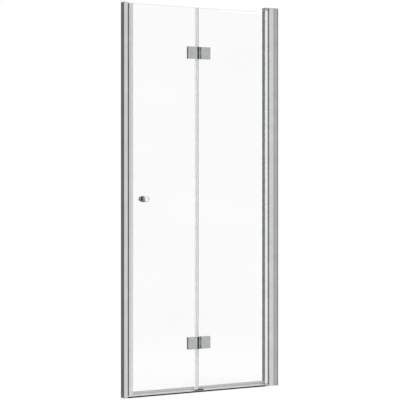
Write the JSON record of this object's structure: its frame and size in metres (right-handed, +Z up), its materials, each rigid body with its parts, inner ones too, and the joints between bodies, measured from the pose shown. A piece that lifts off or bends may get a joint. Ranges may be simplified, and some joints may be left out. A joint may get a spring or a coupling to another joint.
{
  "type": "bifold shower door",
  "caption": "Frameless bifold shower door: two clear glass leaves folding on chrome hinges between aluminium wall profiles, with a low threshold, clip-on seals and a round double knob.",
  "frame": {"origin": "floor level, midway between the two wall faces, on the middle plane of the glass", "axes": "+X towards the pivot wall, -Y towards the bathroom, +Y into the shower, +Z up"},
  "size_m": [0.9, 0.067, 1.952],
  "materials": {
    "bright_aluminium": "bright anodised",
    "chrome_plate": "polished",
    "clear_glass": "clear toughened",
    "seal_pvc": "translucent grey",
    "magnet_pvc": "dark grey",
    "black_rubber": "matt",
    "grey_plastic": "fine grain",
    "white_nylon": "smooth",
    "stainless_screw": "turned",
    "foam_tape": "foam"
  },
  "bodies": {
    "frame_set": {"bearing_block_screws": "stainless_screw", "bottom_bearing_block": "bright_aluminium", "bottom_pivot_pin": "stainless_screw", "joint_rubber_pad": "black_rubber", "pivot_gap_seal": "seal_pvc", "pivot_inner_profile": "bright_aluminium", "pivot_side_screws": "stainless_screw", "pivot_top_cap": "grey_plastic", "pivot_wall_channel": "bright_aluminium", "strike_foot_plug": "grey_plastic", "strike_inner_profile": "bright_aluminium", "strike_magnet_strip": "magnet_pvc", "strike_side_screws": "stainless_screw", "strike_top_cap": "grey_plastic", "strike_wall_channel": "bright_aluminium", "threshold_bar": "bright_aluminium", "threshold_tape": "foam_tape", "top_bearing_block": "bright_aluminium", "top_pivot_pin": "stainless_screw"},
    "wall_leaf": {"clamp_gasket": "seal_pvc", "clamp_pressure_strip": "bright_aluminium", "clamp_profile": "bright_aluminium", "clamp_set_screws": "stainless_screw", "hinge_pin_lower": "stainless_screw", "hinge_pin_upper": "stainless_screw", "pivot_bushings": "white_nylon", "wall_leaf_drip_seal": "seal_pvc", "wall_leaf_glass": "clear_glass", "wall_leaf_hinge_lower": "chrome_plate", "wall_leaf_hinge_lower_back": "chrome_plate", "wall_leaf_hinge_pads": "white_nylon", "wall_leaf_hinge_screws": "stainless_screw", "wall_leaf_hinge_upper": "chrome_plate", "wall_leaf_hinge_upper_back": "chrome_plate"},
    "knob_leaf": {"centre_seal_lower": "seal_pvc", "centre_seal_middle": "seal_pvc", "centre_seal_upper": "seal_pvc", "edge_seal": "seal_pvc", "edge_seal_magnet": "magnet_pvc", "inner_knob": "chrome_plate", "knob_leaf_drip_seal": "seal_pvc", "knob_leaf_glass": "clear_glass", "knob_leaf_hinge_lower": "chrome_plate", "knob_leaf_hinge_lower_back": "chrome_plate", "knob_leaf_hinge_pads": "white_nylon", "knob_leaf_hinge_screws": "stainless_screw", "knob_leaf_hinge_upper": "chrome_plate", "knob_leaf_hinge_upper_back": "chrome_plate", "knob_sleeve": "white_nylon", "knob_stud": "stainless_screw", "knob_washers": "white_nylon", "outer_knob": "chrome_plate"}
  },
  "joints": [
    {"name": "wall_leaf_swing", "type": "hinge", "parent": "frame_set", "child": "wall_leaf", "pos_m": [0.383, 0, 0.0136], "axis": [0, 0, 1], "range_deg": [-90, 0]},
    {"name": "leaf_fold", "type": "hinge", "parent": "wall_leaf", "child": "knob_leaf", "pos_m": [-0.0245, -0.0165, 0.247], "axis": [0, 0, 1], "range_deg": [0, 175]}
  ]
}
